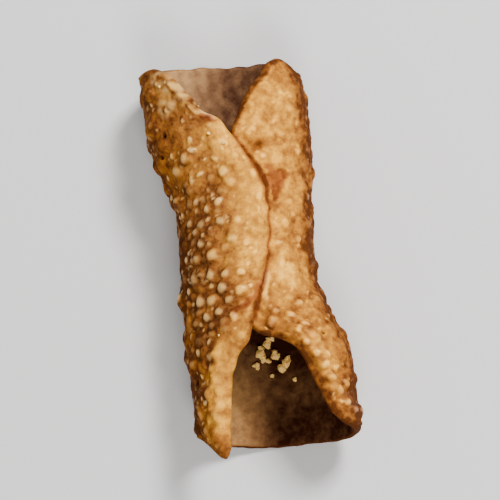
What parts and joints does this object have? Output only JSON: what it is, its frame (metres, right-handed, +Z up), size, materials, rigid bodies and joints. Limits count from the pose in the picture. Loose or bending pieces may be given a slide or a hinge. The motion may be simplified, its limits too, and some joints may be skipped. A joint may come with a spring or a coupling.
{
  "type": "cannoli shell",
  "caption": "Empty fried cannoli shell: a blistered pastry tube with a lapped seam and flared open mouths for a filling.",
  "frame": {"origin": "on the table under the middle of the shell, at the bottom centre of its box", "axes": "+Y along the tube's bore towards the V-shaped far mouth, +Z up through the lapped seam, +X towards the under-lapping flap"},
  "size_m": [0.0464, 0.1068, 0.036],
  "materials": {
    "baked_dough": "matt fried pastry with a faint sheen of fat"
  },
  "bodies": {
    "root": {"shell": "baked_dough"}
  },
  "joints": []
}
